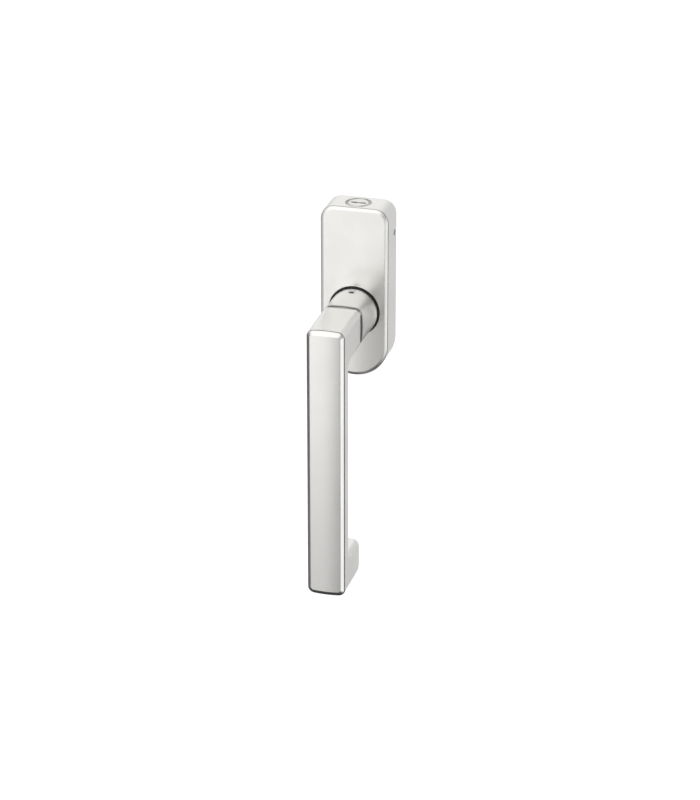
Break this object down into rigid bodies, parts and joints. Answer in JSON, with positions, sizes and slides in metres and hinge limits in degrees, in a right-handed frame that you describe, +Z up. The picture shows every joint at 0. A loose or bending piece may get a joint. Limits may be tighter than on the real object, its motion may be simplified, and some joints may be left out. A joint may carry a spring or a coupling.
{
  "type": "tilt and turn window handle",
  "caption": "Lockable tilt and turn window handle: hanging flat bar with a returned foot on a round collar, tall rose with a cylinder lock in its upper end, square spindle behind.",
  "frame": {"origin": "where the spindle's axis meets the window frame, in the plane of the base plate's back", "axes": "+Y along the spindle into the window, +Z up the rose, +X to the right as seen from the room; the closed handle hangs towards -Z"},
  "size_m": [0.031, 0.1047, 0.1679],
  "materials": {
    "satin_aluminium": "satin anodised, natural silver, fine even grain",
    "cast_zinc": null,
    "zinc_plated_steel": "bright zinc plate",
    "spring_steel": "oiled spring steel",
    "nickel_plate": "brass with a satin nickel plate",
    "brass": "plain brass",
    "black_plastic": "black acetal",
    "pale_plastic": "natural white acetal"
  },
  "bodies": {
    "rose": {"cover_cap": "satin_aluminium", "base_plate": "cast_zinc", "guide_ring": "black_plastic", "bearing_bush": "pale_plastic", "fixing_screw_upper": "zinc_plated_steel", "fixing_screw_lower": "zinc_plated_steel", "lock_housing": "nickel_plate", "lock_clip": "spring_steel", "detent_spring_left": "spring_steel", "detent_spring_right": "spring_steel"},
    "lever": {"lever": "satin_aluminium", "spindle": "zinc_plated_steel", "cross_pin": "spring_steel", "detent_disc": "cast_zinc", "thrust_washer": "zinc_plated_steel", "retaining_ring": "spring_steel"},
    "lock_plug": {"lock_plug": "nickel_plate", "lock_tailpiece": "zinc_plated_steel", "plug_clip": "spring_steel"},
    "lock_wafer_1": {"lock_wafer_1": "brass"},
    "lock_wafer_2": {"lock_wafer_2": "brass"},
    "lock_wafer_3": {"lock_wafer_3": "brass"},
    "lock_wafer_4": {"lock_wafer_4": "brass"},
    "detent_ball_left": {"detent_ball_left": "spring_steel"},
    "detent_ball_right": {"detent_ball_right": "spring_steel"}
  },
  "joints": [
    {"name": "lever_turn", "type": "hinge", "parent": "rose", "child": "lever", "pos_m": [0, 0, 0], "axis": [0, -1, 0], "range_deg": [0, 180]},
    {"name": "plug_turn", "type": "hinge", "parent": "rose", "child": "lock_plug", "pos_m": [0, -0.0075, 0.035], "axis": [0, 0, 1], "range_deg": [0, 180]},
    {"name": "wafer_1_slide", "type": "slide", "parent": "lock_plug", "child": "lock_wafer_1", "axis": [1, 0, 0], "range_m": [0, 0.0006], "stiffness_N_per_m": 100},
    {"name": "wafer_2_slide", "type": "slide", "parent": "lock_plug", "child": "lock_wafer_2", "axis": [1, 0, 0], "range_m": [0, 0.0006]},
    {"name": "wafer_3_slide", "type": "slide", "parent": "lock_plug", "child": "lock_wafer_3", "axis": [1, 0, 0], "range_m": [0, 0.0006]},
    {"name": "wafer_4_slide", "type": "slide", "parent": "lock_plug", "child": "lock_wafer_4", "axis": [1, 0, 0], "range_m": [0, 0.0006]},
    {"name": "ball_left_slide", "type": "slide", "parent": "rose", "child": "detent_ball_left", "axis": [0.7071, 0, 0.7071], "range_m": [0, 0.0008], "stiffness_N_per_m": 500, "deforming": ["detent_spring_left"]},
    {"name": "ball_right_slide", "type": "slide", "parent": "rose", "child": "detent_ball_right", "axis": [-0.7071, 0, 0.7071], "range_m": [0, 0.0008], "deforming": ["detent_spring_right"]}
  ],
  "couplings": [
    {"joint": "wafer_2_slide", "follows": "wafer_1_slide", "ratio": 1},
    {"joint": "wafer_3_slide", "follows": "wafer_1_slide", "ratio": 1},
    {"joint": "wafer_4_slide", "follows": "wafer_1_slide", "ratio": 1},
    {"joint": "ball_right_slide", "follows": "ball_left_slide", "ratio": 1}
  ]
}
